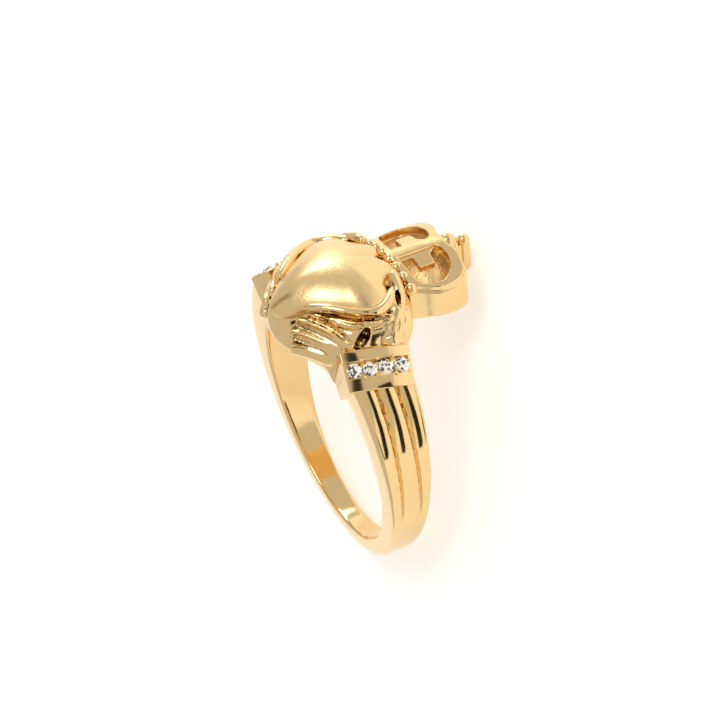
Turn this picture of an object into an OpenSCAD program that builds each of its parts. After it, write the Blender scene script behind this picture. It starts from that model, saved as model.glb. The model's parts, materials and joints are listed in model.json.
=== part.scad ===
// Claddagh ring: two cuffed hands hold a heart, and a crown lies along the finger beyond it.
// The gold is one casting. Four small diamonds sit in a channel across each cuff.
// In the ring's own frame X runs across the head, Y from the finger up through the head, and
// Z along the finger towards the heart's point. The ring lies on its crown side, so all of it
// is turned about X at the end. The origin is the centre of the finger hole. Lengths are in mm.

/* [Finger hole] */
// Across the finger hole, 17.3 for a US size 7
hole_diameter = 17.3; // [14:0.1:22]

/* [Shank] */
// Thickness at the bottom, opposite the heart
bottom_thickness = 1.1; // [0.8:0.05:2]
// Thickness a quarter of the way round
side_thickness = 2.05; // [1.2:0.05:3]
// Width at the bottom
bottom_width = 1.45; // [1.2:0.05:4]
// Width a quarter of the way round
side_width = 3; // [1.6:0.05:5]

/* [Reeds] */
// Distance between the two grooves that part the three reeds
groove_spacing = 1.4; // [0.8:0.05:2]
// Width of a groove
groove_width = 0.56; // [0.2:0.02:0.8]
// Depth of a groove at the cuff
groove_depth = 0.35; // [0.1:0.05:0.6]
// Angle from the heart where the grooves run out
groove_end = 96; // [70:1:120]

/* [Cuffs] */
// Width of a cuff along the finger, at the hand
cuff_width = 4.9; // [4:0.1:7]
// Width of a cuff at the shank
cuff_foot_width = 4.6; // [3:0.1:7]
// Height of the collars above the finger hole
cuff_height = 3; // [2.2:0.05:4]
// Lean of the cuff against the finger's direction
cuff_lean = 12; // [0:1:20]
// Width of the collar next to the hand
upper_collar = 0.84; // [0.4:0.02:1.5]
// Width of the collar next to the shank
lower_collar = 0.95; // [0.6:0.05:2]
// Width of the channel between the collars
channel_width = 1.16; // [0.8:0.02:1.6]
// Depth of the channel
channel_depth = 0.4; // [0.2:0.05:0.8]
// Gold that closes each end of the channel
channel_end = 0.2; // [0.06:0.02:0.5]

/* [Diamonds] */
// Across the girdle of a stone
stone_diameter = 1.04; // [0.8:0.02:1.5]
// Distance from one stone to the next
stone_pitch = 1.12; // [0.9:0.02:1.6]
// Stone tables below the collars' tops
stone_recess = 0.06; // [0:0.01:0.3]
// Gap between a stone and its seat
seat_gap = 0.03; // [0.02:0.01:0.1]

/* [Head] */
// Distance between the cuffs over the top, along the curve
head_width = 14.6; // [12:0.1:18]
// Length of the head along the finger, from lobes to heart's point
head_length = 9; // [7:0.1:12]
// Height of the heart above the finger hole
head_height = 4.75; // [3.5:0.05:6.5]
// Width of a finger
finger_width = 0.76; // [0.5:0.02:1.2]

/* [Beads] */
// Across one bead of the row between heart and crown
bead_diameter = 0.9; // [0.5:0.05:1.3]
// Number of beads
bead_count = 7; // [5:2:13]
// Length of the row across the ring
bead_row = 6.2; // [5:0.1:10]
// Distance of the row's middle beyond the head's edge
bead_gap = 0.2; // [0:0.05:0.6]

/* [Crown] */
// Width of the crown over its loops
crown_width = 8.1; // [6:0.1:11]
// Length of the crown from the beads to its end
crown_length = 4.35; // [3:0.05:7]
// Height of its middle rim above the finger hole
crown_height = 3.5; // [2:0.05:4.5]
// Radius of the crown's curve across the ring
crown_radius = 8.2; // [6:0.1:12]
// Depth of the sandy floor below the rims
crown_recess = 0.6; // [0.2:0.05:1]
// Depth of the cross below the rims
cross_recess = 0.15; // [0:0.05:0.5]
// Gold left above the finger under the crown
crown_relief = 0.4; // [0.2:0.05:1]
// Height of its flat underside above the middle of the ring
crown_underside = 8.8; // [7:0.05:10]
// Across the orb
orb_diameter = 1.3; // [0.8:0.05:2]
// Thickness of the finial at the crown's end
finial_thickness = 0.92; // [0.5:0.02:1.2]
// Distance of the finial from the crown's end
finial_reach = 1.3; // [0.8:0.05:2]
// Length of the finial through the crown
finial_length = 2.9; // [1.5:0.1:4]

/* [Hollow underside] */
// Depth of the hollow from the finger hole
hollow_depth = 1.3; // [0.5:0.05:2]
// Width of the slot that runs down both shoulders
slot_width = 1.6; // [0.8:0.1:2.4]
// Angle from the heart where the slot ends
slot_end = 76; // [50:1:90]

/* [Hidden] */
hole_r = hole_diameter / 2;
bottom_r = hole_r + bottom_thickness;
side_r = hole_r + side_thickness;
// Outside of the shank: one cylinder whose middle lies above that of the hole.
outer_r = (side_r * side_r / bottom_r + bottom_r) / 2;
outer_y = outer_r - bottom_r;
// Middle radius of the head, on which lengths across it are measured.
head_r = hole_r + head_height * 0.84;
head_angle = head_width / 2 / head_r * 180 / PI;
cuff_r = hole_r + cuff_height;
// Angles at which the cuff's collars begin and end.
function along_cuff(length) = length / cuff_r * 180 / PI;
cuff_a = head_angle - 1.8;
cuff_b = cuff_a + along_cuff(upper_collar);
cuff_c = cuff_b + along_cuff(channel_width);
cuff_d = cuff_c + along_cuff(lower_collar);
stone_angle = (cuff_b + cuff_c) / 2;
crown_y = hole_r + crown_height - crown_radius;
bead_place = head_length / 2 + bead_gap;
crown_end = bead_place + crown_length;
finial_r = finial_thickness / 2;
finial_z = -crown_end - finial_reach;
finial_y = crown_underside;
// The ring rests on the finial's lower end and on the edge of the shank's bottom.
reach_y = finial_y + finial_r + bottom_r;
reach_z = -finial_z - bottom_width / 2;
tilt = atan(reach_z / reach_y) + asin(finial_r / norm([reach_y, reach_z]));
slack = 0.35;
$fn = 96;

// Place of a point at an angle from the heart, a radius and a distance along the finger.
function spot(angle, r, z) = [r * sin(angle), r * cos(angle), z];
function flat_spot(angle, r) = [r * sin(angle), r * cos(angle)];

// Row of a table, held at its first and last, and a smooth curve through all the rows.
function row(table, i) = table[max(0, min(len(table) - 1, i))];
function curve(table, t) = let (i = floor(t), f = t - i,
    p = row(table, i - 1), q = row(table, i), r = row(table, i + 1), s = row(table, i + 2))
    q + f / 2 * ((r - p) + f * ((2 * p - 5 * q + 4 * r - s) + f * (3 * (q - r) + s - p)));

// Faces of a skin over rings of n points each, with its two ends.
function skin(rings, n) = concat(
    [for (k = [0:rings - 2], j = [0:n - 1]) [k * n + j, k * n + (j + 1) % n, (k + 1) * n + j]],
    [for (k = [0:rings - 2], j = [0:n - 1])
        [k * n + (j + 1) % n, (k + 1) * n + (j + 1) % n, (k + 1) * n + j]],
    [[for (j = [n - 1:-1:0]) j], [for (j = [0:n - 1]) (rings - 1) * n + j]]);

// Gold under heart and hands, from the middle out to the cuff.
// Angle, edge towards the crown, edge towards the point, height of the top: shares of
// head_angle, head_length, head_length and head_height.
body = [
    [0.000, -0.500, 0.488, 0.62],
    [0.270, -0.500, 0.470, 0.67],
    [0.450, -0.483, 0.410, 0.72],
    [0.600, -0.461, 0.365, 0.77],
    [0.750, -0.428, 0.312, 0.79],
    [0.870, -0.395, 0.285, 0.73],
    [0.945, -0.355, 0.272, 0.60],
    [1.100, -0.262, 0.258, 0.48]];
body_end = body[len(body) - 1][0];
body_index = [for (i = [0:len(body) - 1]) [body[i][0], i]];
// Rounding of the body's corners, along the finger and in height, as shares of its head_height.
crown_corner = [0.13, 0.13];
point_corner = [0.64, 0.60];

function body_section(a) = let (
    at = curve(body, lookup(abs(a), body_index)), angle = a * head_angle,
    z0 = at[1] * head_length, z1 = at[2] * head_length, top = hole_r + at[3] * head_height,
    c = crown_corner * head_height, p = point_corner * head_height) [
    spot(angle, hole_r - slack, z0),
    for (k = [0:3]) spot(angle, top - c[1] * (1 - sin(k * 30)), z0 + c[0] * (1 - cos(k * 30))),
    for (k = [6:-1:0]) spot(angle, top - p[1] * (1 - sin(k * 15)), z1 - p[0] * (1 - cos(k * 15))),
    spot(angle, hole_r - slack, z1 - 0.01 * head_length)];

module head_body(steps = 26) {
    points = [for (k = [0:steps]) each body_section(body_end * (1 - 2 * k / steps))];
    n = len(points) / (steps + 1);
    polyhedron(points = points, faces = skin(steps + 1, n), convexity = 4);
}

// Right half of the heart's outline from the cleft round to the point: shares of head_angle
// across and of head_length along, and the share of head_height at which the heart's edge lies.
heart_outline = [
    [0.000, -0.400, 0.75], [0.075, -0.445, 0.76], [0.165, -0.466, 0.77], [0.255, -0.440, 0.78],
    [0.330, -0.372, 0.81], [0.400, -0.325, 0.83], [0.490, -0.300, 0.84], [0.570, -0.256, 0.84],
    [0.608, -0.178, 0.84], [0.612, -0.110, 0.84], [0.585, -0.044, 0.83], [0.520, 0.016, 0.82],
    [0.420, 0.145, 0.77], [0.340, 0.235, 0.73], [0.265, 0.312, 0.69], [0.190, 0.385, 0.63],
    [0.120, 0.440, 0.59], [0.060, 0.482, 0.55], [0.000, 0.500, 0.53]];
heart_middle = [0, -0.07, 0.75];
// Size of its foot inside the body.
heart_foot = 0.9;
// Size and rise of the heart's rings, from its edge to its top.
heart_rings = [for (s = [1, 0.96, 0.88, 0.75, 0.58, 0.38, 0.18, 0.02]) [s, pow(1 - pow(s, 2.3), 0.85)]];

heart_points = 30;
function half_heart(k) = curve(heart_outline, k * (len(heart_outline) - 1) / heart_points);
function heart_at(k) = k <= heart_points ? half_heart(k)
    : let (m = half_heart(2 * heart_points - k)) [-m[0], m[1], m[2]];
function heart_ring(s, rise) = [for (k = [0:2 * heart_points - 1]) let (
    q = heart_middle + s * (heart_at(k) - heart_middle), edge = heart_at(k)[2])
    spot(q[0] * head_angle, hole_r + (edge + (1 - edge) * rise) * head_height, q[1] * head_length)];

module heart() {
    feet = [for (size = [0.02, heart_foot], k = [0:2 * heart_points - 1]) let (
        q = heart_middle + size * (heart_at(k) - heart_middle))
        spot(q[0] * head_angle, hole_r + slack, q[1] * head_length)];
    points = concat(feet, [for (g = heart_rings) each heart_ring(g[0], g[1])]);
    polyhedron(points = points, faces = skin(len(heart_rings) + 2, 2 * heart_points), convexity = 6);
}

// Fingers and thumb of the right hand, from root to tip.
// Angle, place along the finger, height of the crest, width: shares of head_angle, head_length,
// head_height and finger_width.
fingers = [
    // index, curled round the web
    [[0.470, -0.350, 0.85, 1.0], [0.565, -0.306, 0.87, 1.0], [0.650, -0.211, 0.88, 1.0],
        [0.667, -0.100, 0.88, 1.0], [0.585, 0.040, 0.87, 1.0], [0.455, 0.161, 0.83, 1.0],
        [0.280, 0.312, 0.75, 0.9]],
    // middle
    [[0.742, -0.250, 0.83, 0.9], [0.767, -0.100, 0.84, 0.8], [0.682, 0.078, 0.82, 0.8],
        [0.515, 0.195, 0.76, 0.8], [0.345, 0.317, 0.68, 0.8]],
    // ring
    [[0.797, 0.094, 0.71, 1.1], [0.606, 0.217, 0.68, 1.1], [0.455, 0.305, 0.64, 1.1],
        [0.297, 0.383, 0.59, 1.0]],
    // fourth
    [[0.794, 0.178, 0.55, 1.1], [0.620, 0.289, 0.52, 1.1], [0.455, 0.383, 0.49, 1.1],
        [0.312, 0.439, 0.44, 1.0]],
    // little
    [[0.860, 0.222, 0.39, 1.3], [0.606, 0.355, 0.35, 1.3], [0.406, 0.452, 0.24, 1.1]],
    // thumb
    [[0.960, -0.150, 0.72, 3.2], [0.680, -0.317, 0.82, 1.7], [0.545, -0.372, 0.85, 1.2],
        [0.394, -0.389, 0.86, 1.0], [0.280, -0.420, 0.86, 0.9]]];

function finger_centre(f, t) = let (q = curve(f, t), w = q[3] * finger_width / 2)
    spot(q[0] * head_angle, hole_r + q[2] * head_height - w, q[1] * head_length);
function finger_ring(f, t, share, sides) = let (
    c = finger_centre(f, t), w = share * curve(f, t)[3] * finger_width / 2,
    way = finger_centre(f, t + 0.05) - finger_centre(f, t - 0.05), out = [c[0], c[1], 0],
    side = cross(way, out) / norm(cross(way, out)), up = cross(side, way) / norm(way))
    [for (j = [0:sides - 1]) c + w * (cos(j * 360 / sides) * side + sin(j * 360 / sides) * up)];

module finger(f, steps = 9, sides = 8) {
    last = len(f) - 1;
    points = [for (k = [0:steps]) let (u = k / steps)
        each finger_ring(f, last * u, pow(1 - pow(abs(2 * u - 1), 7) * 0.93, 0.5), sides)];
    polyhedron(points = points, faces = skin(steps + 1, sides), convexity = 4);
}

module hand() {
    for (f = fingers) finger(f);
}

// The cast head is one skin over the body, heart and hands, of the named length.
module head() {
    resize([0, 0, head_length]) union() {
        head_body();
        heart();
        hand();
        mirror([1, 0, 0]) hand();
    }
}

// Side view of the tapered shank, from below the bottom up to the heart.
module flanks() {
    slope = (side_width - bottom_width) / 2 / bottom_r;
    low = [-bottom_r - 1, bottom_width / 2 - slope];
    high = [hole_r + head_height, side_width / 2 + slope * (hole_r + head_height)];
    rotate([90, 0, 90]) linear_extrude(height = 4 * outer_r, center = true)
        polygon([[low[0], -low[1]], [high[0], -high[1]], high, low]);
}

module shank() {
    difference() {
        intersection() {
            flanks();
            linear_extrude(height = head_length, center = true) difference() {
                translate([0, outer_y]) circle(r = outer_r);
                polygon([[0, 0], 2 * flat_spot(-stone_angle, hole_r), [0, 4 * hole_r],
                    2 * flat_spot(stone_angle, hole_r)]);
            }
        }
        for (m = [0, 1], s = [-1, 1]) mirror([m, 0, 0]) groove(s * groove_spacing / 2);
    }
}

// Radius of the shank's outside at an angle from the heart.
function shank_at(angle) = outer_y * cos(angle) + sqrt(pow(outer_r, 2) - pow(outer_y * sin(angle), 2));

// One groove of the reeds: its depth runs out at groove_end.
module groove(z) {
    start = cuff_d;
    r_start = shank_at(start) - groove_depth;
    r_end = shank_at(groove_end);
    y0 = (r_start * r_start - r_end * r_end) / (2 * (r_start * cos(start) - r_end * cos(groove_end)));
    r0 = norm(flat_spot(start, r_start) - [0, y0]);
    past = 12;
    translate([0, y0, z]) rotate([0, 0, 90 - groove_end - past])
        rotate_extrude(angle = groove_end + past - cuff_b) polygon([
            [r0, -0.2 * groove_width], [r0 + 4 * groove_depth, -1.4 * groove_width],
            [r0 + 4 * groove_depth, 1.4 * groove_width], [r0, 0.2 * groove_width]]);
}

// Leans what is made for the right cuff about the line out through its middle.
module lean() {
    middle = (cuff_a + cuff_d) / 2;
    rotate([0, 0, -middle]) rotate([0, -cuff_lean, 0]) rotate([0, 0, middle]) children();
}

// Flanks of a cuff, which draw in towards the shank.
module cuff_wedge() {
    reach = cuff_r * sin((cuff_d - cuff_a) / 2);
    draw_in = (cuff_width - cuff_foot_width) / 4;
    rotate([0, 0, -(cuff_a + cuff_d) / 2]) rotate([-90, 0, 0]) linear_extrude(height = 2 * cuff_r)
        polygon([
            [-2 * reach, cuff_width / 2 + draw_in], [2 * reach, cuff_foot_width / 2 - draw_in],
            [2 * reach, -cuff_foot_width / 2 + draw_in], [-2 * reach, -cuff_width / 2 - draw_in]]);
}

module cuff() {
    low = hole_r - slack;
    floor_r = cuff_r - channel_depth;
    bevel = 0.1;
    intersection() {
        cuff_wedge();
        union() {
            linear_extrude(height = 2 * cuff_width, center = true) polygon([
                flat_spot(cuff_a, low), flat_spot(cuff_a, cuff_r - bevel),
                flat_spot(cuff_a + 0.5, cuff_r), flat_spot(cuff_b, cuff_r),
                flat_spot(cuff_b, floor_r), flat_spot(cuff_c, floor_r), flat_spot(cuff_c, cuff_r),
                flat_spot(cuff_d - 0.5, cuff_r), flat_spot(cuff_d, cuff_r - bevel),
                flat_spot(cuff_d, low)]);
            for (s = [-1, 1]) translate([0, 0, s * (3 * cuff_width / 2 - channel_end)])
                linear_extrude(height = 2 * cuff_width, center = true) polygon([
                    flat_spot(cuff_b - 1, low), flat_spot(cuff_b - 1, cuff_r - bevel),
                    flat_spot(cuff_c + 1, cuff_r - bevel), flat_spot(cuff_c + 1, low)]);
        }
    }
}

// Puts something made at the origin, pointing up Z, on the cuff at a stone's place.
module at_stone(side, number, r) {
    mirror([side < 0 ? 1 : 0, 0, 0]) lean() rotate([0, 0, -stone_angle])
        translate([0, r, (number - 2.5) * stone_pitch]) rotate([-90, 0, 0]) children();
}

girdle_r = cuff_r - stone_recess - 0.17 * stone_diameter;
module seat() {
    wide = stone_diameter / 2 + seat_gap;
    translate([0, 0, -0.05 * stone_diameter - 0.9 * wide])
        cylinder(r1 = 0.08 * wide, r2 = wide, h = 0.9 * wide, $fn = 32);
}

// Brilliant: octagonal table, sixteen-sided girdle and a pointed pavilion.
module diamond() {
    color([0.93, 0.96, 1]) hull() {
        translate([0, 0, 0.15 * stone_diameter]) cylinder(r = 0.29 * stone_diameter, h = 0.01, $fn = 8);
        rotate([0, 0, 11.25]) cylinder(r = stone_diameter / 2, h = 0.02 * stone_diameter, $fn = 16);
        translate([0, 0, -0.42 * stone_diameter]) cylinder(r = 0.02 * stone_diameter, h = 0.01, $fn = 8);
    }
}

// Surface of the crown at a depth below its rims, as a cylinder along the finger.
module crown_solid(depth) {
    translate([0, crown_y, 0]) cylinder(r = crown_radius - depth, h = 4 * crown_end, center = true);
}
function crown_top(x) = crown_y + sqrt(crown_radius * crown_radius - x * x);

module beads() {
    for (k = [0:bead_count - 1]) {
        x = bead_row / 2 * (2 * k / (bead_count - 1) - 1);
        translate([x, crown_top(x) - bead_diameter * 0.4, -bead_place]) sphere(d = bead_diameter, $fn = 24);
    }
}

// Right half of the crown's outline from the heart to its end, and of the recess inside its
// loop: shares of half the crown's width and of its length.
crown_outline = [
    [0.80, -0.05], [0.88, 0.15], [0.97, 0.36], [1.00, 0.56], [0.96, 0.80], [0.83, 0.95],
    [0.62, 1.00], [0.40, 1.01], [0.20, 0.96], [0.08, 0.97]];
loop_recess = [
    [0.12, 0.09], [0.45, 0.10], [0.76, 0.16], [0.85, 0.30], [0.87, 0.46], [0.83, 0.60],
    [0.66, 0.76], [0.42, 0.82], [0.20, 0.79], [0.12, 0.72]];
// Half of the cross in each loop, the same shares.
half_cross = [
    [0, 0.07], [0.20, 0.07], [0.20, 0.31], [0.47, 0.31],
    [0.47, 0.57], [0.25, 0.60], [0.12, 0.74], [0, 0.74]];
function crown_spot(q) = [q[0] * crown_width / 2, -bead_place - q[1] * crown_length];
function crown_curve(table, n) = [for (k = [0:n]) crown_spot(curve(table, k * (len(table) - 1) / n))];

// Stands a flat outline of the crown up through the head.
module upright() {
    translate([0, crown_top(0) + 1, 0]) rotate([90, 0, 0])
        linear_extrude(height = crown_top(0) + 1 - crown_underside) children();
}

module crown() {
    half = crown_curve(crown_outline, 24);
    difference() {
        intersection() {
            upright() polygon(concat(half, [for (k = [len(half) - 1:-1:0]) [-half[k][0], half[k][1]]]));
            crown_solid(0);
        }
        cylinder(r = hole_r + crown_relief, h = 4 * crown_end, center = true);
        for (m = [0, 1]) mirror([m, 0, 0]) difference() {
            upright() polygon(crown_curve(loop_recess, 18));
            crown_solid(crown_recess);
        }
    }
    intersection() {
        for (m = [0, 1]) mirror([m, 0, 0]) upright() polygon([for (q = half_cross) crown_spot(q)]);
        crown_solid(cross_recess);
    }
    translate([0, crown_top(0) - 0.45 * orb_diameter, -crown_end - 0.1]) sphere(d = orb_diameter, $fn = 32);
    finial();
}

module finial() {
    translate([0, finial_y + finial_r, finial_z]) {
        sphere(r = finial_r, $fn = 32);
        rotate([-90, 0, 0]) cylinder(r = finial_r, h = finial_length - 2 * finial_r, $fn = 32);
        translate([0, finial_length - 2 * finial_r, 0]) sphere(r = finial_r, $fn = 32);
    }
    translate([-0.7 * finial_r, crown_underside + 0.3, finial_z])
        cube([1.4 * finial_r, 0.7 * finial_length, 1.5 * finial_reach]);
}

// Hollow under the head and the slot down each shoulder, open to the finger.
module hollow() {
    // half angle, degrees; start and end along the finger, mm; share of hollow_depth
    for (h = [
        [0.45 * head_angle, -0.36 * head_length, 0.38 * head_length, 1],
        [0.75 * head_angle, -0.27 * head_length, 0.22 * head_length, 0.88],
        [slot_end, -slot_width / 2, slot_width / 2, 0.75]])
        rotate([0, 0, 90 - h[0]]) rotate_extrude(angle = 2 * h[0])
            translate([hole_r - 1, h[1]]) square([hollow_depth * h[3] + 1, h[2] - h[1]]);
}

module gold_ring() {
    color([0.93, 0.74, 0.42]) rotate([tilt, 0, 0]) difference() {
        union() {
            shank();
            head();
            for (m = [0, 1]) mirror([m, 0, 0]) lean() cuff();
            beads();
            crown();
        }
        cylinder(r = hole_r, h = 4 * head_length, center = true, $fn = 192);
        hollow();
        for (side = [-1, 1], number = [1:4]) at_stone(side, number, girdle_r) seat();
    }
}

module stone(side, number) {
    rotate([tilt, 0, 0]) at_stone(side, number, girdle_r) diamond();
}

gold_ring();
stone(1, 1);  // diamond_right_1
stone(1, 2);  // diamond_right_2
stone(1, 3);  // diamond_right_3
stone(1, 4);  // diamond_right_4
stone(-1, 1);  // diamond_left_1
stone(-1, 2);  // diamond_left_2
stone(-1, 3);  // diamond_left_3
stone(-1, 4);  // diamond_left_4
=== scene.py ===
import json
import math
import bmesh
import bpy
from mathutils import Matrix, Vector


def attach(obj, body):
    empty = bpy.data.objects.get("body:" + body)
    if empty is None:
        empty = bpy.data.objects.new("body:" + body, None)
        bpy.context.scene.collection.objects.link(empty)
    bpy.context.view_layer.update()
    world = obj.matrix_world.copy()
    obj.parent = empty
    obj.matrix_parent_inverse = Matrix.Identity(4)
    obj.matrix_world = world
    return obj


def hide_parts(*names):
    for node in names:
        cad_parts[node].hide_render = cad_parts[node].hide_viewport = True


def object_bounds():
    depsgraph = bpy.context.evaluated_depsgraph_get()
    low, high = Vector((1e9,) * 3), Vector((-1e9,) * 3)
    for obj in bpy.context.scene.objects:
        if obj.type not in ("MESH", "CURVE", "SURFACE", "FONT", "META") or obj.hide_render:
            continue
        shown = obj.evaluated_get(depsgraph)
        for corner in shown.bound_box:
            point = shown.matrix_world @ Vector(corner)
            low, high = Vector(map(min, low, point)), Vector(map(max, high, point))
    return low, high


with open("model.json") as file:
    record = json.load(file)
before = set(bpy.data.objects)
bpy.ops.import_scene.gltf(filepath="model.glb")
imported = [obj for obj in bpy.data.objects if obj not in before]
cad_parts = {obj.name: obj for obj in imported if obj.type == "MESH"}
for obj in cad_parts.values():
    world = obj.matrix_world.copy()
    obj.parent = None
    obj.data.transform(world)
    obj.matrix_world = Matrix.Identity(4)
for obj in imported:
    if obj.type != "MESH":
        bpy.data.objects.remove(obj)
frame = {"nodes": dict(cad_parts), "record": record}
cad_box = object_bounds()

# The finger hole. The ring is thought of upright, X across the head, Y up through the heart and
# Z along the finger towards the heart's point, in mm. It lies on its crown, turned about X, and
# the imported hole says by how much.
finger_hole = frame["record"]["mounts"][0]
hole_r = finger_hole["dims"]["r_mm"]
hole_axis = finger_hole["axis"]
lying = math.atan2(-hole_axis[1], hole_axis[2])


def lay(point):
    """The place in the frame, in metres, of a point of the upright ring in mm."""
    x, y, z = point
    return (x / 1000, (y * math.cos(lying) - z * math.sin(lying)) / 1000,
            (y * math.sin(lying) + z * math.cos(lying)) / 1000)


def spot(angle, r, z):
    """A point of the upright ring at an angle in degrees from the heart."""
    a = math.radians(angle)
    return (r * math.sin(a), r * math.cos(a), z)


# Polished 14 carat gold, cast and buffed. Shallow ripples from the polishing wheel bend its
# reflections a little, and fine wear dulls the high places.
GOLD = (0.87, 0.62, 0.3)


def wire(tree, joins):
    """Links outputs to inputs in a node tree: pairs of a node and its socket's name or number."""
    for source, target in joins:
        tree.links.new(source[0].outputs[source[1]], target[0].inputs[target[1]])


wear = bpy.data.node_groups.new("polishing wear", "ShaderNodeTree")
for name in ("Scale", "Smoothest", "Dullest"):
    wear.interface.new_socket(name, in_out="INPUT", socket_type="NodeSocketFloat")
wear.interface.new_socket("Roughness", in_out="OUTPUT", socket_type="NodeSocketFloat")
wear_in = wear.nodes.new("NodeGroupInput")
wear_out = wear.nodes.new("NodeGroupOutput")
wear_place = wear.nodes.new("ShaderNodeTexCoord")
wear_noise = wear.nodes.new("ShaderNodeTexNoise")
wear_noise.inputs["Detail"].default_value = 4
wear_range = wear.nodes.new("ShaderNodeMapRange")
wire(wear, (
    ((wear_place, "Object"), (wear_noise, "Vector")), ((wear_in, "Scale"), (wear_noise, "Scale")),
    ((wear_noise, "Fac"), (wear_range, "Value")), ((wear_in, "Smoothest"), (wear_range, "To Min")),
    ((wear_in, "Dullest"), (wear_range, "To Max")), ((wear_range, "Result"), (wear_out, "Roughness"))))

# Painted shade: creases of the casting that the wheel can't reach are painted dark brown in place of the
# shade and dark reflections in them, and so is the deep place behind the knuckles, the same on both sides. A
# colour mix has its factor and its two colours at inputs 0, 6 and 7, and its result at output 2.
CREASE_SHADE = (0.055, 0.026, 0.008)
knuckle_shade_place = (27.4, 11.5, 0.25)
shade_reach = 0.66
shade_core = 0.3

crease = bpy.data.node_groups.new("painted crease shade", "ShaderNodeTree")
for name, kind, way in (("Gold", "NodeSocketColor", "INPUT"), ("Shade", "NodeSocketColor", "INPUT"),
                        ("Shallow", "NodeSocketFloat", "INPUT"), ("Deep", "NodeSocketFloat", "INPUT"),
                        ("Recess", "NodeSocketVector", "INPUT"), ("Reach", "NodeSocketFloat", "INPUT"),
                        ("Colour", "NodeSocketColor", "OUTPUT")):
    crease.interface.new_socket(name, in_out=way, socket_type=kind)
crease_in = crease.nodes.new("NodeGroupInput")
crease_out = crease.nodes.new("NodeGroupOutput")
crease_shape = crease.nodes.new("ShaderNodeNewGeometry")
crease_depth = crease.nodes.new("ShaderNodeMapRange")
crease_depth.interpolation_type = "SMOOTHSTEP"
crease_place = crease.nodes.new("ShaderNodeTexCoord")
crease_either_side = crease.nodes.new("ShaderNodeVectorMath")
crease_either_side.operation = "ABSOLUTE"
crease_distance = crease.nodes.new("ShaderNodeVectorMath")
crease_distance.operation = "DISTANCE"
crease_near = crease.nodes.new("ShaderNodeMapRange")
crease_near.interpolation_type = "SMOOTHSTEP"
crease_near.inputs["From Max"].default_value = shade_core / 1000
crease_most = crease.nodes.new("ShaderNodeMath")
crease_most.operation = "MAXIMUM"
crease_mix = crease.nodes.new("ShaderNodeMix")
crease_mix.data_type = "RGBA"
wire(crease, (
    ((crease_shape, "Pointiness"), (crease_depth, "Value")),
    ((crease_in, "Shallow"), (crease_depth, "From Min")), ((crease_in, "Deep"), (crease_depth, "From Max")),
    ((crease_place, "Object"), (crease_either_side, 0)),
    ((crease_either_side, 0), (crease_distance, 0)), ((crease_in, "Recess"), (crease_distance, 1)),
    ((crease_distance, "Value"), (crease_near, "Value")), ((crease_in, "Reach"), (crease_near, "From Min")),
    ((crease_near, "Result"), (crease_most, 0)), ((crease_depth, "Result"), (crease_most, 1)),
    ((crease_most, 0), (crease_mix, 0)), ((crease_in, "Gold"), (crease_mix, 6)),
    ((crease_in, "Shade"), (crease_mix, 7)), ((crease_mix, 2), (crease_out, "Colour"))))


def gold_finish(name, scale, smoothest, dullest, ripple_scale, ripple, colour=GOLD, dark=False):
    """Gold of one finish: wear between two roughnesses, ripples of a size in metres that bend its
    normals, and, where it is asked for, painted shade in the creases and behind the knuckles."""
    material = bpy.data.materials.new(name)
    material.use_nodes = True
    nodes = material.node_tree.nodes
    shader = nodes["Principled BSDF"]
    shader.inputs["Base Color"].default_value = (*colour, 1)
    shader.inputs["Metallic"].default_value = 1
    worn = nodes.new("ShaderNodeGroup")
    worn.node_tree = wear
    worn.inputs["Scale"].default_value = scale
    worn.inputs["Smoothest"].default_value = smoothest
    worn.inputs["Dullest"].default_value = dullest
    place = nodes.new("ShaderNodeTexCoord")
    ripples = nodes.new("ShaderNodeTexNoise")
    ripples.inputs["Scale"].default_value = ripple_scale
    ripples.inputs["Detail"].default_value = 2
    bump = nodes.new("ShaderNodeBump")
    bump.inputs["Distance"].default_value = ripple
    wire(material.node_tree, (
        ((worn, "Roughness"), (shader, "Roughness")), ((place, "Object"), (ripples, "Vector")),
        ((ripples, "Fac"), (bump, "Height")), ((bump, "Normal"), (shader, "Normal"))))
    # Painted shade: a dark colour is mixed into the base colour in the creases and behind the knuckles.
    if dark:
        painted_creases = nodes.new("ShaderNodeGroup")
        painted_creases.node_tree = crease
        painted_creases.inputs["Gold"].default_value = (*colour, 1)
        painted_creases.inputs["Shade"].default_value = (*CREASE_SHADE, 1)
        painted_creases.inputs["Shallow"].default_value = 0.497
        painted_creases.inputs["Deep"].default_value = 0.465
        painted_creases.inputs["Recess"].default_value = lay(spot(*knuckle_shade_place))
        painted_creases.inputs["Reach"].default_value = shade_reach / 1000
        wire(material.node_tree, [((painted_creases, "Colour"), (shader, "Base Color"))])
    return material


polished = gold_finish("polished gold", 900, 0.04, 0.13, 260, 0.00004)


def gold_piece(name, points, faces, material, sharp_above=35):
    """A closed mesh of the upright ring, laid down, its edges sharp above an angle in degrees."""
    mesh = bpy.data.meshes.new(name)
    mesh.from_pydata([lay(p) for p in points], [], faces)
    work = bmesh.new()
    work.from_mesh(mesh)
    bmesh.ops.recalc_face_normals(work, faces=work.faces)
    work.to_mesh(mesh)
    work.free()
    mesh.shade_smooth()
    mesh.set_sharp_from_angle(angle=math.radians(sharp_above))
    mesh.materials.append(material)
    piece = bpy.data.objects.new(name, mesh)
    bpy.context.scene.collection.objects.link(piece)
    return piece


def skin(rings, n):
    """Faces over rings of n points each, end to end, with both ends closed."""
    faces = []
    for k in range(rings - 1):
        low, high = k * n, (k + 1) * n
        faces += [(low + j, low + (j + 1) % n, high + (j + 1) % n, high + j) for j in range(n)]
    return faces + [tuple(range(n)), tuple((rings - 1) * n + j for j in range(n))]


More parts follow.
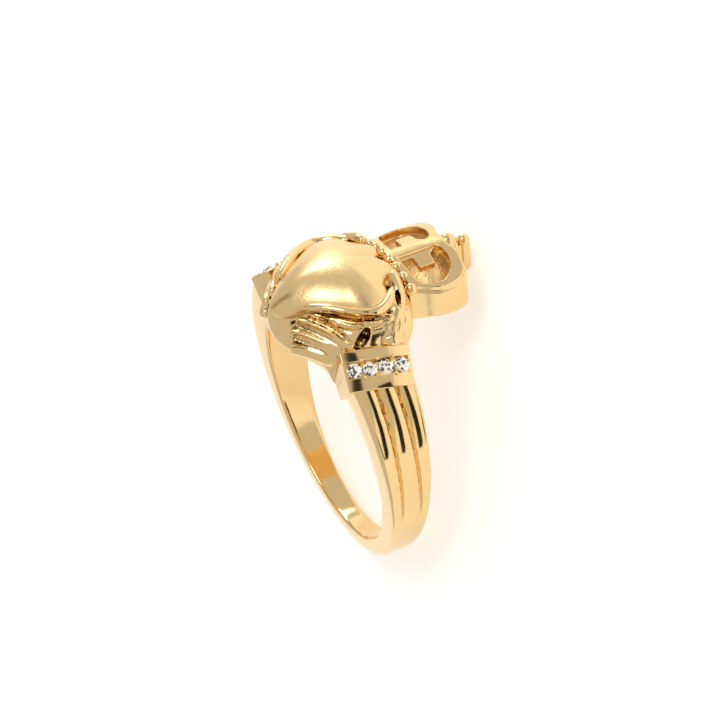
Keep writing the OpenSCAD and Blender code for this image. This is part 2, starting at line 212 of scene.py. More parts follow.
def curve(table, t):
    """A smooth curve through a table's rows, at t rows from its first."""
    last = len(table) - 1
    t = min(max(t, 0), last)
    i = min(int(t), last - 1)
    f = t - i
    rows = [table[max(0, min(last, i + d))] for d in (-1, 0, 1, 2)]
    return [q + f / 2 * ((r - p) + f * ((2 * p - 5 * q + 4 * r - s) + f * (3 * (q - r) + s - p)))
            for p, q, r, s in zip(*rows)]


def made_gold(piece):
    """The piece is part of the one casting."""
    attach(piece, "root")
    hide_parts("gold_ring")


# The shank: a band of cast gold that thins and narrows towards its bottom. Two grooves part the
# outside of each shoulder into three reeds, which run out a little past the widest place.
bottom_thickness = 1.1
side_thickness = 2.05
bottom_width = 1.45
side_width = 3.0
groove_spacing = 1.4
groove_depth = 0.34
groove_half = 0.17
groove_end = 103
groove_steps = 84
reed_swell = 0.1
edge_round = 0.2
inner_edge_round = 0.14
shank_start = 40

bottom_r = hole_r + bottom_thickness
side_r = hole_r + side_thickness
outer_r = (side_r ** 2 / bottom_r + bottom_r) / 2
outer_y = outer_r - bottom_r


def shank_at(angle):
    """Radius of the shank's outside at an angle from the heart."""
    a = math.radians(angle)
    return outer_y * math.cos(a) + math.sqrt(outer_r ** 2 - (outer_y * math.sin(a)) ** 2)


def shank_half(y):
    """Half of the shank's width at a height."""
    return side_width / 2 + (side_width - bottom_width) / 2 / bottom_r * y


def shank_section(angle):
    """Ring of points: along the inside, up one flank, over the reeds and down the other."""
    outside = shank_at(angle)
    fade = max(0.0, (groove_end - min(angle, 360 - angle)) / (groove_end - shank_start)) ** 0.6
    a = math.radians(angle)
    line = groove_half * (0.4 + 0.6 * fade)
    ring = []

    def flank(r):
        return shank_half(r * math.cos(a))

    def corner(r, side, outer):
        """Quarter round between a flank and the outside or inside."""
        step = edge_round if outer else inner_edge_round
        way = 1 if outer else -1
        for k in range(5) if (side > 0) != outer else range(4, -1, -1):
            t = k / 4 * math.pi / 2
            here = r - way * step * (1 - math.sin(t))
            ring.append((here, side * (flank(r) - step * (1 - math.cos(t)))))

    corner(hole_r, 1, False)
    inside = flank(hole_r) - inner_edge_round
    ring += [(hole_r, inside * (1 - k / 4)) for k in range(1, 8)]
    corner(hole_r, -1, False)
    flank_rows = [hole_r + (outside - hole_r) * share for share in (0.26, 0.40, 0.54, 0.68)]
    ring += [(r, -flank(r)) for r in flank_rows]
    corner(outside, -1, True)
    top = flank(outside) - edge_round
    for k in range(1, groove_steps):
        z = top * (2 * k / groove_steps - 1)
        near = abs(abs(z) - groove_spacing / 2)
        cut = groove_depth * (1 - near / line) ** 0.8 if near < line else 0
        third = min(abs(z), abs(abs(z) - groove_spacing)) / (groove_spacing / 2)
        swell = reed_swell * (1 - min(third, 1) ** 2)
        ring.append((outside + fade * (swell - reed_swell - cut), z))
    corner(outside, 1, True)
    ring += [(r, flank(r)) for r in reversed(flank_rows)]
    return [spot(angle, r, z) for r, z in ring]


shank_steps = 220
shank_points = []
for k in range(shank_steps + 1):
    section = shank_section(shank_start + (360 - 2 * shank_start) * k / shank_steps)
    shank_points += section
shank = gold_piece("shank", shank_points, skin(shank_steps + 1, len(section)), polished, 40)
made_gold(shank)

# The cuffs: a block of gold across each shoulder, cast with the rest. A channel with a flat floor
# runs between two collars, and the block leans a little across the finger's direction.
head_width = 14.6
head_length = 9.0
head_height = 4.75
head_angle = math.degrees(head_width / 2 / (hole_r + head_height * 0.84))
cuff_width = 4.9
cuff_foot_width = 4.6
cuff_r = hole_r + 3.0
cuff_lean = math.radians(12)
cuff_bow = 0.2
upper_collar = 0.84
lower_collar = 0.95
channel_width = 1.16
channel_depth = 0.4
channel_end = 0.2
cuff_a = head_angle - 1.8
cuff_b = cuff_a + math.degrees(upper_collar / cuff_r)
cuff_c = cuff_b + math.degrees(channel_width / cuff_r)
cuff_d = cuff_c + math.degrees(lower_collar / cuff_r)
cuff_middle = (cuff_a + cuff_d) / 2


def lean(point, side):
    """Leans a point of the right cuff about the line out through its middle, and mirrors it."""
    out = Vector(spot(cuff_middle, 1, 0))
    x, y, z = Matrix.Rotation(-cuff_lean, 3, out) @ Vector(point)
    return (side * x, y, z)


def cuff_half(angle):
    """Half of the cuff's width at an angle from the heart."""
    share = (angle - cuff_a) / (cuff_d - cuff_a)
    return (cuff_width + (cuff_foot_width - cuff_width) * share) / 2


def cuff_block(name, start, end, top, bottom, low_z, high_z, side):
    """A block of a cuff between two angles and two heights, bowed as the ring is. Its top is
    buffed a little lower at both ends of the cuff."""
    steps, across = 10, 12
    points = []
    for k in range(steps + 1):
        angle = start + (end - start) * k / steps
        wide = cuff_half(angle)
        ends = [low_z + (high_z - low_z) * j / across for j in range(across + 1)]
        rows = [(bottom, low_z)] + [(top - cuff_bow * z ** 2, z) for z in ends] + [(bottom, high_z)]
        points += [lean(spot(angle, r, z * wide), side) for r, z in rows]
    piece = gold_piece(name, points, skin(steps + 1, across + 3), polished, 30)
    bevel = piece.modifiers.new("worn edges", "BEVEL")
    bevel.width = 0.00007
    bevel.segments = 3
    bevel.limit_method = "ANGLE"
    bevel.angle_limit = math.radians(40)
    bevel.harden_normals = True
    return piece


inner_end = 1 - channel_end / (cuff_width / 2)
channel_start, channel_stop = cuff_b - 0.4, cuff_c + 0.4
cuff_parts = (
    ("upper_collar", cuff_a, cuff_b, cuff_r, -1, 1),
    ("lower_collar", cuff_c, cuff_d, cuff_r, -1, 1),
    ("channel_floor", channel_start, channel_stop, cuff_r - channel_depth, -1, 1),
    ("channel_foot_end", channel_start, channel_stop, cuff_r - 0.1, -1, -inner_end),
    ("channel_top_end", channel_start, channel_stop, cuff_r - 0.1, inner_end, 1))
for side, name in ((1, "right"), (-1, "left")):
    for part, start, end, top, low_z, high_z in cuff_parts:
        made_gold(cuff_block(f"cuff_{name}_{part}", start, end, top, hole_r + 0.03, low_z, high_z, side))

# The diamonds: four small brilliants in each channel, cut with a table and a pointed pavilion.
# The imported stones have the right cut and place, so they only get their finish. Their glints are painted:
# in place of the light that each facet turns another way, a pattern of patches that shifts from facet to
# facet with the way that the facet faces is painted into the base colour, so that some facets flash white and
# some stay dark.
flash_across = 0.0002
flash_shift = 0.002
diamond = bpy.data.materials.new("diamond")
diamond.use_nodes = True
diamond_nodes = diamond.node_tree.nodes
sparkle = diamond_nodes["Principled BSDF"]
facet = diamond_nodes.new("ShaderNodeNewGeometry")
facet_place = diamond_nodes.new("ShaderNodeTexCoord")
facet_turn = diamond_nodes.new("ShaderNodeVectorMath")
facet_turn.operation = "MULTIPLY_ADD"
facet_turn.inputs[1].default_value = (flash_shift, flash_shift, flash_shift)
flash = diamond_nodes.new("ShaderNodeTexVoronoi")
flash.inputs["Scale"].default_value = 1 / flash_across
painted_glints = diamond_nodes.new("ShaderNodeMapRange")
painted_glints.inputs["From Min"].default_value = 0.34
painted_glints.inputs["From Max"].default_value = 0.42
painted_glints.inputs["To Min"].default_value = 0.03
wire(diamond.node_tree, (
    ((facet, "True Normal"), (facet_turn, 0)), ((facet_place, "Object"), (facet_turn, 2)),
    ((facet_turn, 0), (flash, "Vector")), ((flash, "Color"), (painted_glints, "Value")),
    ((painted_glints, "Result"), (sparkle, "Base Color")), ((painted_glints, "Result"), (sparkle, "Emission Color"))))
# The painted pattern also glows faintly, though the stones are no lamp.
for socket, value in (("Emission Strength", 0.22), ("Roughness", 0), ("IOR", 2.42),
                      ("Transmission Weight", 0.85), ("Metallic", 0.45)):
    sparkle.inputs[socket].default_value = value
for name, node in frame["nodes"].items():
    if name.startswith("diamond"):
        node.data.materials.clear()
        node.data.materials.append(diamond)

# The grains that hold the diamonds: beads of gold raised from both collars between the stones and
# pushed over their edges. They are one shape, set along each channel.
grain_across = 0.3
stone_pitch = 1.12
grain_tree = bpy.data.node_groups.new("grains", "GeometryNodeTree")
grain_tree.interface.new_socket("Geometry", in_out="INPUT", socket_type="NodeSocketGeometry")
for name, kind in (("Across", "NodeSocketFloat"), ("Finish", "NodeSocketMaterial")):
    grain_tree.interface.new_socket(name, in_out="INPUT", socket_type=kind)
grain_tree.interface.new_socket("Geometry", in_out="OUTPUT", socket_type="NodeSocketGeometry")
grain_in = grain_tree.nodes.new("NodeGroupInput")
grain_out = grain_tree.nodes.new("NodeGroupOutput")
grain_ball = grain_tree.nodes.new("GeometryNodeMeshUVSphere")
grain_ball.inputs["Segments"].default_value = 20
grain_ball.inputs["Rings"].default_value = 12
grain_half = grain_tree.nodes.new("ShaderNodeMath")
grain_half.operation = "MULTIPLY"
grain_half.inputs[1].default_value = 0.5
grain_set = grain_tree.nodes.new("GeometryNodeInstanceOnPoints")
grain_real = grain_tree.nodes.new("GeometryNodeRealizeInstances")
grain_smooth = grain_tree.nodes.new("GeometryNodeSetShadeSmooth")
grain_finish = grain_tree.nodes.new("GeometryNodeSetMaterial")
wire(grain_tree, (
    ((grain_in, "Across"), (grain_half, 0)), ((grain_half, 0), (grain_ball, "Radius")),
    ((grain_in, "Geometry"), (grain_set, "Points")), ((grain_ball, "Mesh"), (grain_set, "Instance")),
    ((grain_set, "Instances"), (grain_real, "Geometry")),
    ((grain_real, "Geometry"), (grain_smooth, "Geometry")),
    ((grain_smooth, "Geometry"), (grain_finish, "Geometry")),
    ((grain_in, "Finish"), (grain_finish, "Material")),
    ((grain_finish, "Geometry"), (grain_out, "Geometry"))))


def balls(name, places, across, material):
    """Balls of one size at places of the upright ring, as one plain mesh."""
    seeds = bpy.data.meshes.new(name + "_places")
    seeds.from_pydata([lay(p) for p in places], [], [])
    seeds_object = bpy.data.objects.new(name + "_places", seeds)
    bpy.context.scene.collection.objects.link(seeds_object)
    setting = seeds_object.modifiers.new("balls", "NODES")
    setting.node_group = grain_tree
    sockets = {s.name: s.identifier for s in grain_tree.interface.items_tree if s.in_out == "INPUT"}
    setting[sockets["Across"]] = across / 1000
    setting[sockets["Finish"]] = material
    bpy.context.view_layer.update()
    graph = bpy.context.evaluated_depsgraph_get()
    mesh = bpy.data.meshes.new_from_object(seeds_object.evaluated_get(graph), depsgraph=graph)
    bpy.data.objects.remove(seeds_object)
    piece = bpy.data.objects.new(name, mesh)
    bpy.context.scene.collection.objects.link(piece)
    return piece


for side, name in ((1, "right"), (-1, "left")):
    places = [lean(spot(edge, cuff_r - 0.02, n * stone_pitch), side)
              for n in (-1, 0, 1) for edge in (cuff_b - 0.1, cuff_c + 0.1)]
    made_gold(balls(f"grains_{name}", places, grain_across, polished))

# The head: gold under heart and hands, cast hollow from the finger side. The backs of the hands
# run down into the cuffs, and its sides draw in towards the heart's point.
# Share of head_angle, edges towards crown and point in shares of head_length, height of the top.
body_rows = [
    (0.000, -0.500, 0.488, 0.62), (0.270, -0.500, 0.470, 0.66), (0.450, -0.483, 0.410, 0.69),
    (0.600, -0.461, 0.365, 0.72), (0.750, -0.428, 0.312, 0.75), (0.870, -0.395, 0.285, 0.71),
    (0.945, -0.355, 0.272, 0.60), (1.100, -0.262, 0.258, 0.48)]
crown_corner = 0.13 * head_height
point_corner = (0.64 * head_height, 0.60 * head_height)


def between(rows, share):
    """Smooth row of a table at a value of its first column."""
    k = 0
    while k < len(rows) - 2 and rows[k + 1][0] < share:
        k += 1
    return curve(rows, k + (share - rows[k][0]) / (rows[k + 1][0] - rows[k][0]))


def body_section(share):
    """Ring of the head's body across the finger at a share of head_angle."""
    row = between(body_rows, abs(share))
    z0, z1, top = row[1] * head_length, row[2] * head_length, hole_r + row[3] * head_height
    angle = share * head_angle
    ring = [(hole_r + 0.02, z0)]
    ring += [(top - crown_corner * (1 - math.sin(t)), z0 + crown_corner * (1 - math.cos(t)))
             for t in (k * math.pi / 16 for k in range(9))]
    ring += [(top - point_corner[1] * (1 - math.sin(t)), z1 - point_corner[0] * (1 - math.cos(t)))
             for t in (k * math.pi / 36 for k in range(18, -1, -1))]
    ring += [(hole_r + 0.02, z1 - 0.01 * head_length)]
    return [spot(angle, r, z) for r, z in ring]


body_steps = 90
body_points = []
for k in range(body_steps + 1):
    section = body_section(body_rows[-1][0] * (2 * k / body_steps - 1))
    body_points += section
# The hands' gold has painted shade in its creases and behind the knuckles.
cast = gold_finish("cast gold", 900, 0.05, 0.14, 260, 0.00003, GOLD, True)
hands = gold_piece("hands", body_points, skin(body_steps + 1, len(section)), cast)

# Fingers and thumb of the right hand, root to tip: shares of head_angle and of head_length, the
# crest in shares of head_height, and the width in fingers.
finger_width = 0.76
fingers = {
    "index": [(0.470, -0.350, 0.86, 1.0), (0.565, -0.306, 0.89, 1.0), (0.650, -0.211, 0.91, 1.0),
              (0.667, -0.100, 0.92, 1.0), (0.585, 0.040, 0.91, 1.0), (0.455, 0.161, 0.88, 1.0),
              (0.280, 0.312, 0.79, 0.9)],
    "middle": [(0.742, -0.250, 0.83, 0.9), (0.767, -0.100, 0.84, 0.8), (0.682, 0.078, 0.82, 0.8),
               (0.515, 0.195, 0.76, 0.8), (0.345, 0.317, 0.68, 0.8)],
    "ring": [(0.797, 0.094, 0.71, 1.1), (0.606, 0.217, 0.68, 1.1), (0.455, 0.305, 0.64, 1.1),
             (0.297, 0.383, 0.59, 1.0)],
    "fourth": [(0.794, 0.178, 0.55, 1.1), (0.620, 0.289, 0.52, 1.1), (0.455, 0.383, 0.49, 1.1),
               (0.312, 0.439, 0.44, 1.0)],
    "little": [(0.860, 0.222, 0.39, 1.3), (0.606, 0.355, 0.35, 1.3), (0.406, 0.452, 0.24, 1.1)],
    "thumb": [(0.960, -0.150, 0.72, 3.2), (0.680, -0.317, 0.82, 1.7), (0.545, -0.380, 0.88, 1.3),
              (0.394, -0.405, 0.92, 1.1), (0.280, -0.430, 0.90, 0.9)]}


def finger_ring(rows, t, share, sides, side):
    """Ring round a finger at t rows from its root, a share of its own width."""
    def centre(t):
        row = curve(rows, t)
        half = row[3] * finger_width / 2
        return Vector(spot(row[0] * head_angle, hole_r + row[2] * head_height - half, row[1] * head_length))
    here = centre(t)
    half = share * curve(rows, t)[3] * finger_width / 2
    way = (centre(t + 0.05) - centre(t - 0.05)).normalized()
    across = way.cross(Vector((here.x, here.y, 0))).normalized()
    up = across.cross(way)
    ring = [here + half * (math.cos(a) * across + math.sin(a) * up)
            for a in (j * 2 * math.pi / sides for j in range(sides))]
    return [(side * p.x, p.y, p.z) for p in ring]


finger_steps = 48
finger_sides = 20
hand_points = []
hand_faces = []
for side in (1, -1):
    for rows in fingers.values():
        start = len(hand_points)
        for k in range(finger_steps + 1):
            u = k / finger_steps
            share = (1 - abs(2 * u - 1) ** 9 * 0.97) ** 0.5
            hand_points += finger_ring(rows, u * (len(rows) - 1), share, finger_sides, side)
        hand_faces += [tuple(start + i for i in face) for face in skin(finger_steps + 1, finger_sides)]
finger_piece = gold_piece("fingers", hand_points, hand_faces, polished)


def cutter(name, r0, r1, half_angle, z0, z1, steps=60):
    """A block of air between two radii, round the finger."""
    points = []
    for k in range(steps + 1):
        angle = half_angle * (2 * k / steps - 1)
        points += [spot(angle, r, z) for r, z in ((r0, z0), (r1, z0), (r1, z1), (r0, z1))]
    return gold_piece(name, points, skin(steps + 1, 4), polished)


def apply_all(piece):
    """Replaces the piece's mesh by the one its modifiers make."""
    bpy.context.view_layer.update()
    graph = bpy.context.evaluated_depsgraph_get()
    mesh = bpy.data.meshes.new_from_object(piece.evaluated_get(graph), depsgraph=graph)
    piece.modifiers.clear()
    piece.data = mesh


def melt(piece, others, voxel, passes):
    """Joins closed shapes into one skin of small faces, and softens it."""
    work = bmesh.new()
    for part in (piece, *others):
        work.from_mesh(part.data)
    work.to_mesh(piece.data)
    work.free()
    for part in others:
        bpy.data.objects.remove(part)
    remesh = piece.modifiers.new("melt", "REMESH")
    remesh.mode = "VOXEL"
    remesh.voxel_size = voxel / 1000
    remesh.use_smooth_shade = True
    soften = piece.modifiers.new("soften", "SMOOTH")
    soften.factor = 0.5
    soften.iterations = passes
    apply_all(piece)


def cut(piece, tools, sharp_above=50):
    """Cuts closed shapes out of a piece."""
    for tool in tools:
        boolean = piece.modifiers.new(tool.name, "BOOLEAN")
        boolean.operation = "DIFFERENCE"
        boolean.object = tool
        boolean.solver = "MANIFOLD"
    apply_all(piece)
    for tool in tools:
        bpy.data.objects.remove(tool)
    piece.data.set_sharp_from_angle(angle=math.radians(sharp_above))


# Body and fingers are one casting: they are melted into one skin whose creases are a little soft.
skin_step = 0.06
melt(hands, [finger_piece], skin_step, 1)

# Creases between the fingers, the folds of the hand's back and the deep place behind the knuckles.
# Angle, place along the finger and radius of each point of a crease, and its half width, in mm.
creases = {
    "over_index": [(24.6, -3.05, 12.60, 0.08), (24.9, -1.95, 12.62, 0.15), (23.4, -0.55, 12.62, 0.18),
                   (18.8, 0.85, 12.5, 0.18), (13.5, 1.85, 12.2, 0.13)],
    "under_index": [(25.6, -2.3, 12.6, 0.12), (26.0, -0.9, 12.60, 0.24), (22.6, 0.55, 12.45, 0.30),
                    (17.0, 1.55, 12.25, 0.27), (11.6, 2.65, 11.9, 0.16)],
    "under_middle": [(29.0, 0.90, 11.7, 0.16), (26.0, 1.25, 12.0, 0.26), (20.9, 1.75, 12.05, 0.28),
                     (15.5, 2.38, 11.9, 0.25), (10.0, 3.12, 11.55, 0.16)],
    "under_ring": [(30.8, 1.30, 11.1, 0.14), (27.0, 1.75, 11.6, 0.22), (20.3, 2.50, 11.55, 0.24),
                   (15.0, 3.14, 11.35, 0.22), (9.6, 3.75, 11.05, 0.14)],
    "under_fourth": [(30.8, 1.95, 10.5, 0.14), (27.0, 2.32, 11.0, 0.20), (20.3, 3.12, 10.85, 0.22),
                     (15.5, 3.70, 10.6, 0.20), (11.5, 4.10, 10.3, 0.13)],
    "behind_knuckles": [(25.2, -0.30, 12.3, 0.16), (26.8, -0.05, 12.0, 0.34), (28.6, 0.50, 11.8, 0.34),
                        (29.6, 1.05, 11.5, 0.14)],
    "below_knuckles": [(26.0, -0.20, 11.6, 0.16), (27.2, 0.05, 11.4, 0.30), (28.6, 0.50, 11.3, 0.30),
                       (29.2, 0.85, 11.2, 0.14)],
    "wrist": [(29.6, -2.35, 12.1, 0.05), (30.2, -1.0, 11.95, 0.08), (30.2, 0.4, 11.9, 0.05)],
    "fold": [(25.4, -2.75, 12.5, 0.08), (28.6, -2.35, 12.35, 0.17), (31.4, -2.0, 12.1, 0.08)],
    "outer_thumb": [(16.2, -3.45, 12.55, 0.08), (20.0, -3.15, 12.6, 0.18), (24.2, -2.85, 12.6, 0.08)]}


def crease_tool(name, rows, side):
    """A tapered tube along a crease, deeper than wide, to be cut out of the hand."""
    def centre(t):
        angle, z, r, half = curve(rows, t)
        return Vector(spot(angle, r, z))
    steps, sides = 40, 14
    points = []
    for k in range(steps + 1):
        u = k / steps
        t = u * (len(rows) - 1)
        half = curve(rows, t)[3]
        here = centre(t)
        way = (centre(t + 0.05) - centre(t - 0.05)).normalized()
        across = way.cross(Vector((here.x, here.y, 0))).normalized()
        up = across.cross(way)
        half *= (1 - abs(2 * u - 1) ** 4 * 0.9) ** 0.5
        points += [here + math.cos(a) * half * across + math.sin(a) * half * 1.7 * up
                   for a in (j * 2 * math.pi / sides for j in range(sides))]
    return gold_piece(name, [(side * p.x, p.y, p.z) for p in points], skin(steps + 1, sides), polished)


for side in (1, -1):
    cut(hands, [crease_tool(name, rows, side) for name, rows in creases.items()])
melt(hands, [], skin_step, 4)

# The hollow under the head and the finger hole are cut from below.
hollow_depth = 1.3
cut(hands, [
    cutter("air_middle", hole_r - 1, hole_r + hollow_depth, 0.45 * head_angle,
           -0.36 * head_length, 0.38 * head_length),
    cutter("air_sides", hole_r - 1, hole_r + hollow_depth, 0.75 * head_angle,
           -0.27 * head_length, 0.22 * head_length),
    cutter("air_finger", 4, hole_r, 60, -8, 8)])
made_gold(hands)

# The heart: a high satin dome, brushed along the finger, that the two hands hold. Its edge is
# lower at the point than at the lobes, and a cleft parts the lobes.
# Shares of head_angle across and of head_length along, and of head_height at the edge.
heart_rows = [
    (0.000, -0.400, 0.75), (0.075, -0.445, 0.76), (0.165, -0.466, 0.77), (0.255, -0.440, 0.78),
    (0.330, -0.372, 0.81), (0.400, -0.325, 0.83), (0.490, -0.300, 0.84), (0.570, -0.256, 0.84),
    (0.608, -0.178, 0.84), (0.612, -0.110, 0.84), (0.585, -0.044, 0.83), (0.520, 0.016, 0.82),
    (0.420, 0.145, 0.77), (0.340, 0.235, 0.73), (0.265, 0.312, 0.69), (0.190, 0.385, 0.63),
    (0.120, 0.440, 0.59), (0.060, 0.482, 0.55), (0.000, 0.500, 0.53)]
heart_middle = -0.07
heart_foot = 1.6
heart_steps = 90
heart_rings = 34
satin = gold_finish("satin gold", 2500, 0.22, 0.34, 5000, 0.00001)

heart_edge = [curve(heart_rows, k * (len(heart_rows) - 1) / heart_steps) for k in range(heart_steps + 1)]
heart_edge += [[-p[0], p[1], p[2]] for p in heart_edge[-2:0:-1]]


def heart_ring(size, rise):
    """Ring of the heart at a size of its outline, raised from its edge towards the top."""
    return [spot(size * across * head_angle, hole_r + (edge + (1 - edge) * rise) * head_height,
                 (heart_middle + size * (along - heart_middle)) * head_length)
            for across, along, edge in heart_edge]


heart_points = []
for size in (0.02, 0.9):
    heart_points += [spot(size * across * head_angle, hole_r + heart_foot,
                          (heart_middle + size * (along - heart_middle)) * head_length)
                     for across, along, edge in heart_edge]
for k in range(heart_rings):
    t = 1 - k / (heart_rings - 1)
    size = max(0.02, math.sin(t * math.pi / 2))
    heart_points += heart_ring(size, (1 - size ** 2.3) ** 0.85)
heart = gold_piece("heart", heart_points, skin(heart_rings + 2, len(heart_edge)), satin, 60)
made_gold(heart)

# The row of beads between heart and crown: seven grains of polished gold, cast on along the
# crown's bowed top. They are the shape that holds the diamonds, larger.
bead_across = 0.9
bead_count = 7
bead_row = 6.2
bead_place = 4.7
crown_height = 3.5
crown_radius = 8.2
crown_y = hole_r + crown_height - crown_radius


def crown_top(x, depth=0):
    """Height of the crown's bowed top at a distance from its middle, less a depth."""
    return crown_y + math.sqrt((crown_radius - depth) ** 2 - x * x)


bead_places = []
for k in range(bead_count):
    x = bead_row / 2 * (2 * k / (bead_count - 1) - 1)
    bead_places.append((x, crown_top(x) - bead_across * 0.4, -bead_place))
made_gold(balls("beads", bead_places, bead_across, polished))

# The crown: a thick plate beyond the beads. Its polished rims are raised over two sandy loops,
# and a cross stands in the middle.
crown_width = 8.1
crown_length = 4.35
crown_recess = 0.6
cross_recess = 0.15
crown_relief = 0.4
crown_underside = 8.8
floor_underside = crown_underside + 1.2
# Shares of half the crown's width and of its length, from the heart to its end.
crown_rows = [
    (0.80, -0.05), (0.88, 0.15), (0.97, 0.36), (1.00, 0.56), (0.96, 0.80), (0.83, 0.95),
    (0.62, 1.00), (0.40, 1.01), (0.20, 0.96), (0.08, 0.97)]
loop_rows = [
    (0.12, 0.09), (0.45, 0.10), (0.76, 0.16), (0.85, 0.30), (0.87, 0.46), (0.83, 0.60),
    (0.66, 0.76), (0.42, 0.82), (0.20, 0.79), (0.12, 0.72)]
cross_rows = [
    (-0.20, 0.07), (0.20, 0.07), (0.20, 0.31), (0.47, 0.31), (0.47, 0.57), (0.25, 0.60), (0.12, 0.74),
    (-0.12, 0.74), (-0.25, 0.60), (-0.47, 0.57), (-0.47, 0.31), (-0.20, 0.31)]
SANDY_GOLD = (0.86, 0.58, 0.27)
sandy = gold_finish("sandy gold", 6000, 0.25, 0.5, 5200, 0.00006, SANDY_GOLD)


def crown_spot(row):
    """Place in the crown's plan, across and along the finger, of a row of shares."""
    return (row[0] * crown_width / 2, -bead_place - row[1] * crown_length)


def smooth_outline(rows, n):
    """A smooth line of n steps in the crown's plan through a table of shares."""
    return [crown_spot(curve(rows, k * (len(rows) - 1) / n)) for k in range(n + 1)]


crown_outline = smooth_outline(crown_rows, 90)
crown_outline += [(-x, z) for x, z in reversed(crown_outline)]


def bowed(name, outline, low, depth, material):
    """A closed plate whose top follows the crown's bow, cut from a bowed bar by its outline."""
    steps = 120
    half = crown_width * 0.7
    points = []
    for k in range(steps + 1):
        x = half * (2 * k / steps - 1)
        points += [(x, low, 0), (x, crown_top(x, depth), 0), (x, crown_top(x, depth), -crown_length * 3),
                   (x, low, -crown_length * 3)]
    bar = gold_piece(name, points, skin(steps + 1, 4), material)
    tool_points = [(x, low - 1, z) for x, z in outline] + [(x, 14, z) for x, z in outline]
    tool = gold_piece(name + "_outline", tool_points, skin(2, len(outline)), material)
    boolean = bar.modifiers.new("outline", "BOOLEAN")
    boolean.operation = "INTERSECT"
    boolean.object = tool
    boolean.solver = "MANIFOLD"
    apply_all(bar)
    bpy.data.objects.remove(tool)
    return bar


crown = bowed("crown", crown_outline, crown_underside, 0, polished)
loops = []
for side, name in ((1, "right"), (-1, "left")):
    loop = [(side * x, z) for x, z in smooth_outline(loop_rows, 60)]
    top = bowed("loop_" + name, loop, crown_underside, -1.5, polished)
    floor = bowed("floor_" + name, loop, crown_underside - 1, crown_recess, polished)
    cut(top, [floor])
    loops.append(top)

# A narrow ledge runs round the top of the crown's outer wall.
ledge_width = 0.13
ledge_depth = 0.34
plan_middle = crown_spot((0, 0.5))


def grown_plan(by):
    """The crown's plan, larger by about a distance on every side."""
    return [(x * (1 + 2 * by / crown_width),
             plan_middle[1] + (z - plan_middle[1]) * (1 + 2 * by / crown_length)) for x, z in crown_outline]


rim_air = bowed("rim_air", grown_plan(0.5), crown_underside, -1.5, polished)
cut(rim_air, [bowed("rim_below", grown_plan(0.8), crown_underside - 1, ledge_depth, polished),
              bowed("rim_core", grown_plan(-ledge_width), crown_underside - 1, -2.5, polished)])
cut(crown, [*loops, rim_air, cutter("air_crown", 4, hole_r + crown_relief, 60, -16, 8)])
melt(crown, [], 0.045, 8)

cross = bowed("crown_cross", [crown_spot(row) for row in cross_rows], floor_underside, cross_recess, polished)
melt(cross, [], 0.04, 4)
for piece in (crown, cross):
    piece.data.materials.clear()
    piece.data.materials.append(polished)
    made_gold(piece)

for side, name in ((1, "right"), (-1, "left")):
    loop = [(side * x, z) for x, z in smooth_outline(loop_rows, 60)]
    middle_x = sum(x for x, z in loop) / len(loop)
    middle_z = sum(z for x, z in loop) / len(loop)
    grown = [(middle_x + 1.04 * (x - middle_x), middle_z + 1.04 * (z - middle_z)) for x, z in loop]
    made_gold(bowed("crown_floor_" + name, grown, floor_underside, crown_recess - 0.03, sandy))

# The orb on the crown and the turned finial behind it, which the ring rests on when it lies.
orb_across = 1.3
finial_r = 0.46
finial_length = 2.9
finial_reach = 1.3
crown_end = bead_place + crown_length
orb_place = (0, crown_top(0) - 0.45 * orb_across, -crown_end - 0.1)
made_gold(balls("orb", [orb_place], orb_across, polished))

finial_steps = 32
finial_points = []
finial_z = -crown_end - finial_reach
for k in range(finial_steps + 1):
    t = math.pi * k / finial_steps
    share = max(math.sin(t), 0.02)
    end = 0 if k < finial_steps / 2 else finial_length - 2 * finial_r
    height = crown_underside + finial_r + end - finial_r * math.cos(t)
    finial_points += [(finial_r * share * math.cos(a), height, finial_z + finial_r * share * math.sin(a))
                      for a in (j * 2 * math.pi / finial_steps for j in range(finial_steps))]
made_gold(gold_piece("finial", finial_points, skin(finial_steps + 1, finial_steps), polished))
neck = 0.7 * finial_r
neck_low = crown_underside + 0.3
neck_high = neck_low + 0.7 * finial_length
neck_points = [(x, y, z) for z in (finial_z, finial_z + 1.5 * finial_reach)
               for x, y in ((-neck, neck_low), (neck, neck_low), (neck, neck_high), (-neck, neck_high))]
made_gold(gold_piece("finial_neck", neck_points, skin(2, 4), polished))

# The setting: a pale floor that the ring lies on, soft light from above and both sides, and dark
# cards out of view that draw the black lines in the polished gold.
floor_z = cad_box[0].z
bpy.ops.mesh.primitive_plane_add(size=2, location=(0, 0, floor_z))
floor = bpy.context.object
floor.name = "floor"
paper = bpy.data.materials.new("paper")
paper.use_nodes = True
for socket, value in (("Base Color", (0.93, 0.92, 0.9, 1)), ("Roughness", 0.9),
                      ("Emission Color", (1, 0.985, 0.96, 1)), ("Emission Strength", 0.38)):
    paper.node_tree.nodes["Principled BSDF"].inputs[socket].default_value = value
floor.data.materials.append(paper)


def from_camera(right, up, towards):
    """Place in the frame, in metres, of a point given in mm along the camera's own directions."""
    return Vector(lay(tuple(right * a + up * b + towards * c
                            for a, b, c in zip(camera_right, camera_up, camera_back))))


# Directions of the camera in the upright ring, and where it stands, in mm.
camera_right = (0.44583, -0.07797, -0.89171)
camera_up = (-0.51017, 0.79642, -0.32471)
camera_back = (0.7355, 0.59969, 0.31529)
camera_place = (182.412, 153.083, 76.422)
camera_data = bpy.data.cameras.new("camera")
camera_data.sensor_width = 36
camera_data.lens = 178.67
camera = bpy.data.objects.new("camera", camera_data)
bpy.context.scene.collection.objects.link(camera)
axes = [Vector(lay(axis)).normalized() for axis in (camera_right, camera_up, camera_back)]
camera.matrix_world = Matrix.Translation(lay(camera_place)) @ Matrix(axes).transposed().to_4x4()
camera_data.clip_start = 0.01
bpy.context.scene.camera = camera


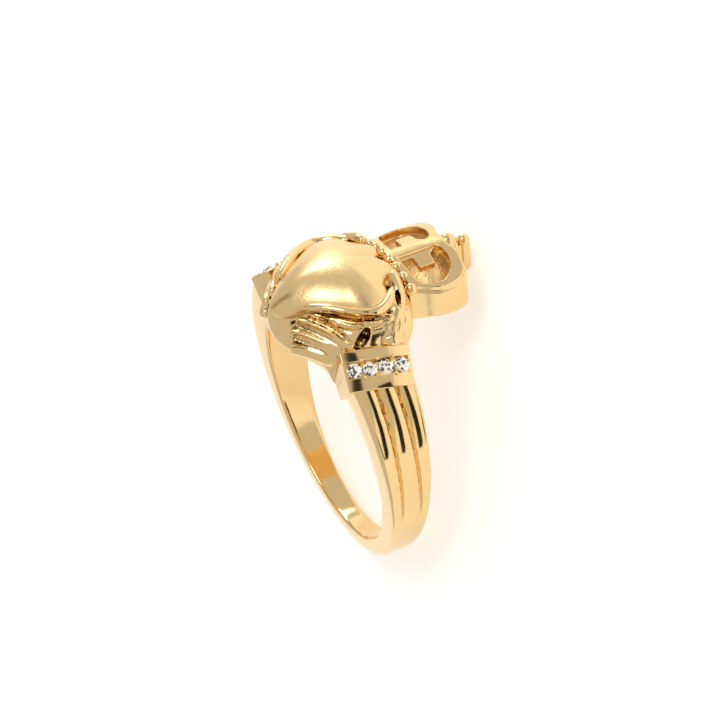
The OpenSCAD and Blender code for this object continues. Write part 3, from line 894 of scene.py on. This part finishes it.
def lamp(name, place, size, power):
    """A soft box that looks at the ring."""
    data = bpy.data.lights.new(name, "AREA")
    data.shape = "DISK"
    data.size = size / 1000
    data.energy = power
    lamp_object = bpy.data.objects.new(name, data)
    bpy.context.scene.collection.objects.link(lamp_object)
    lamp_object.location = from_camera(*place)
    lamp_object.rotation_mode = "QUATERNION"
    lamp_object.rotation_quaternion = (-lamp_object.location).to_track_quat("-Z", "Y")


def card(name, place, along, length, width):
    """A black card out of the camera's sight, which only the gold mirrors. It faces the ring from
    a place of the upright ring, and its length runs along a direction of it."""
    place = Vector(lay(place))
    out = place.normalized()
    far = Vector(lay(along))
    far = (far - far.dot(out) * out).normalized() * length / 2000
    side = out.cross(far).normalized() * width / 2000
    data = bpy.data.meshes.new(name)
    data.from_pydata([place + a * far + b * side for a, b in ((-1, -1), (1, -1), (1, 1), (-1, 1))],
                     [], [(0, 1, 2, 3)])
    data.materials.append(black)
    card_object = bpy.data.objects.new(name, data)
    bpy.context.scene.collection.objects.link(card_object)
    card_object.visible_camera = False
    card_object.visible_shadow = False
    card_object.visible_diffuse = False


black = bpy.data.materials.new("black card")
black.use_nodes = True
for socket, value in (("Base Color", (0.01, 0.008, 0.006, 1)), ("Roughness", 1)):
    black.node_tree.nodes["Principled BSDF"].inputs[socket].default_value = value

lamp("high_light", (-40, 142, -25), 56, 0.034)
lamp("key_light", (-50, 80, 110), 56, 0.03)
lamp("fill_light", (110, 60, 80), 70, 0.035)
card("card_by_the_reeds", (24.3, 11.6, -5.4), (0.42, -0.91, 0.0), 24, 3.6)
card("card_by_the_collars", (66, 134, -9), (0.312, -0.152, 0.11), 75, 15)
card("card_by_the_hands", (-52, 93, 105), (0.6, 0.2, -0.6), 110, 26)

world = bpy.data.worlds.new("studio")
bpy.context.scene.world = world
world.use_nodes = True
sky = world.node_tree.nodes["Background"]
sky.inputs["Color"].default_value = (1.0, 0.985, 0.96, 1)
sky.inputs["Strength"].default_value = 0.68
bpy.context.scene.view_settings.view_transform = "Standard"
